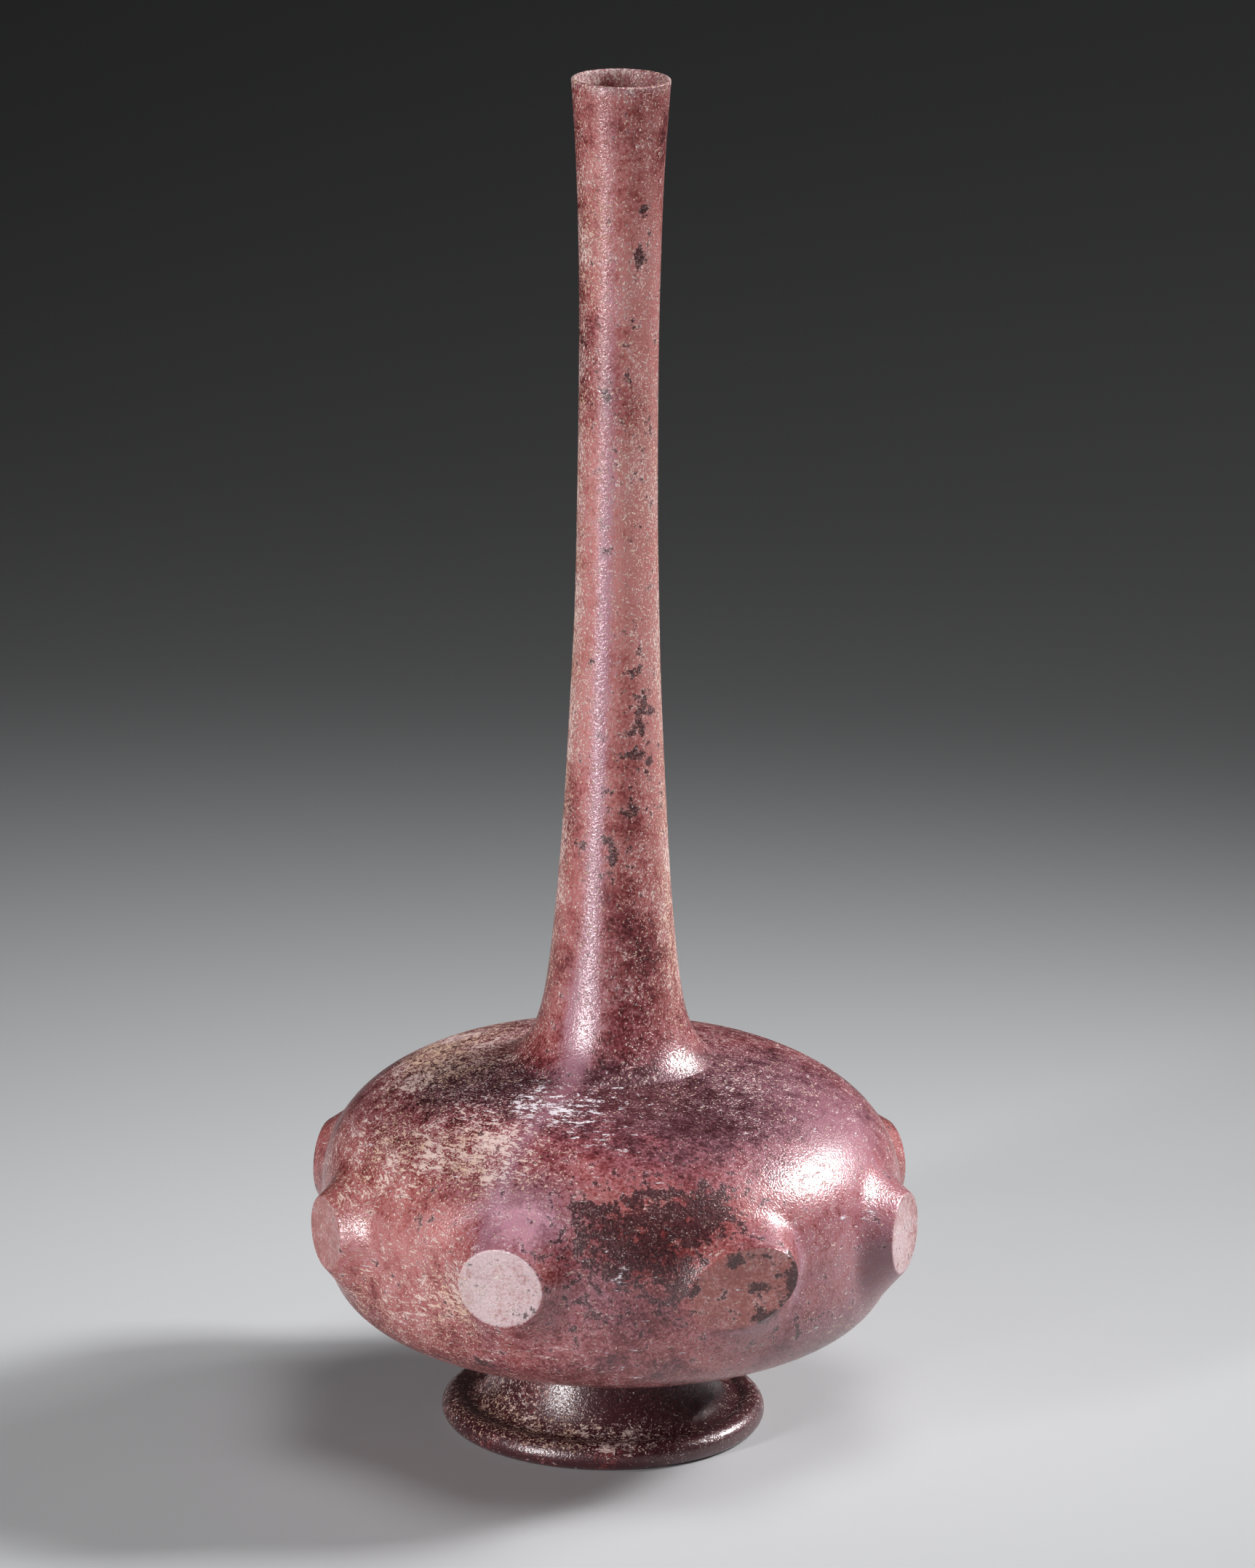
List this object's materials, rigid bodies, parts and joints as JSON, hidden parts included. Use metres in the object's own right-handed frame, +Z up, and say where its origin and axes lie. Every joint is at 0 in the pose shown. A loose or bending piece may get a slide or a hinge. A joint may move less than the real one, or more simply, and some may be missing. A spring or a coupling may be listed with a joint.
{
  "type": "glass sprinkler flask",
  "caption": "Long-necked purple glass sprinkler flask with hollow bosses around a squat body, on a splayed rolled foot.",
  "frame": {"origin": "on the axis of the body, on the surface that the foot stands on", "axes": "+Z up along the neck to the mouth, -Y towards the front of the flask, +X to its right as seen from the front"},
  "size_m": [0.1158, 0.1158, 0.26],
  "materials": {
    "purple_glass": "weathered manganese-purple blown glass with a dust film inside",
    "weathering_crust": "dull cream to dark brown burial crust and deposit"
  },
  "bodies": {
    "root": {"flask": "purple_glass"}
  },
  "joints": []
}
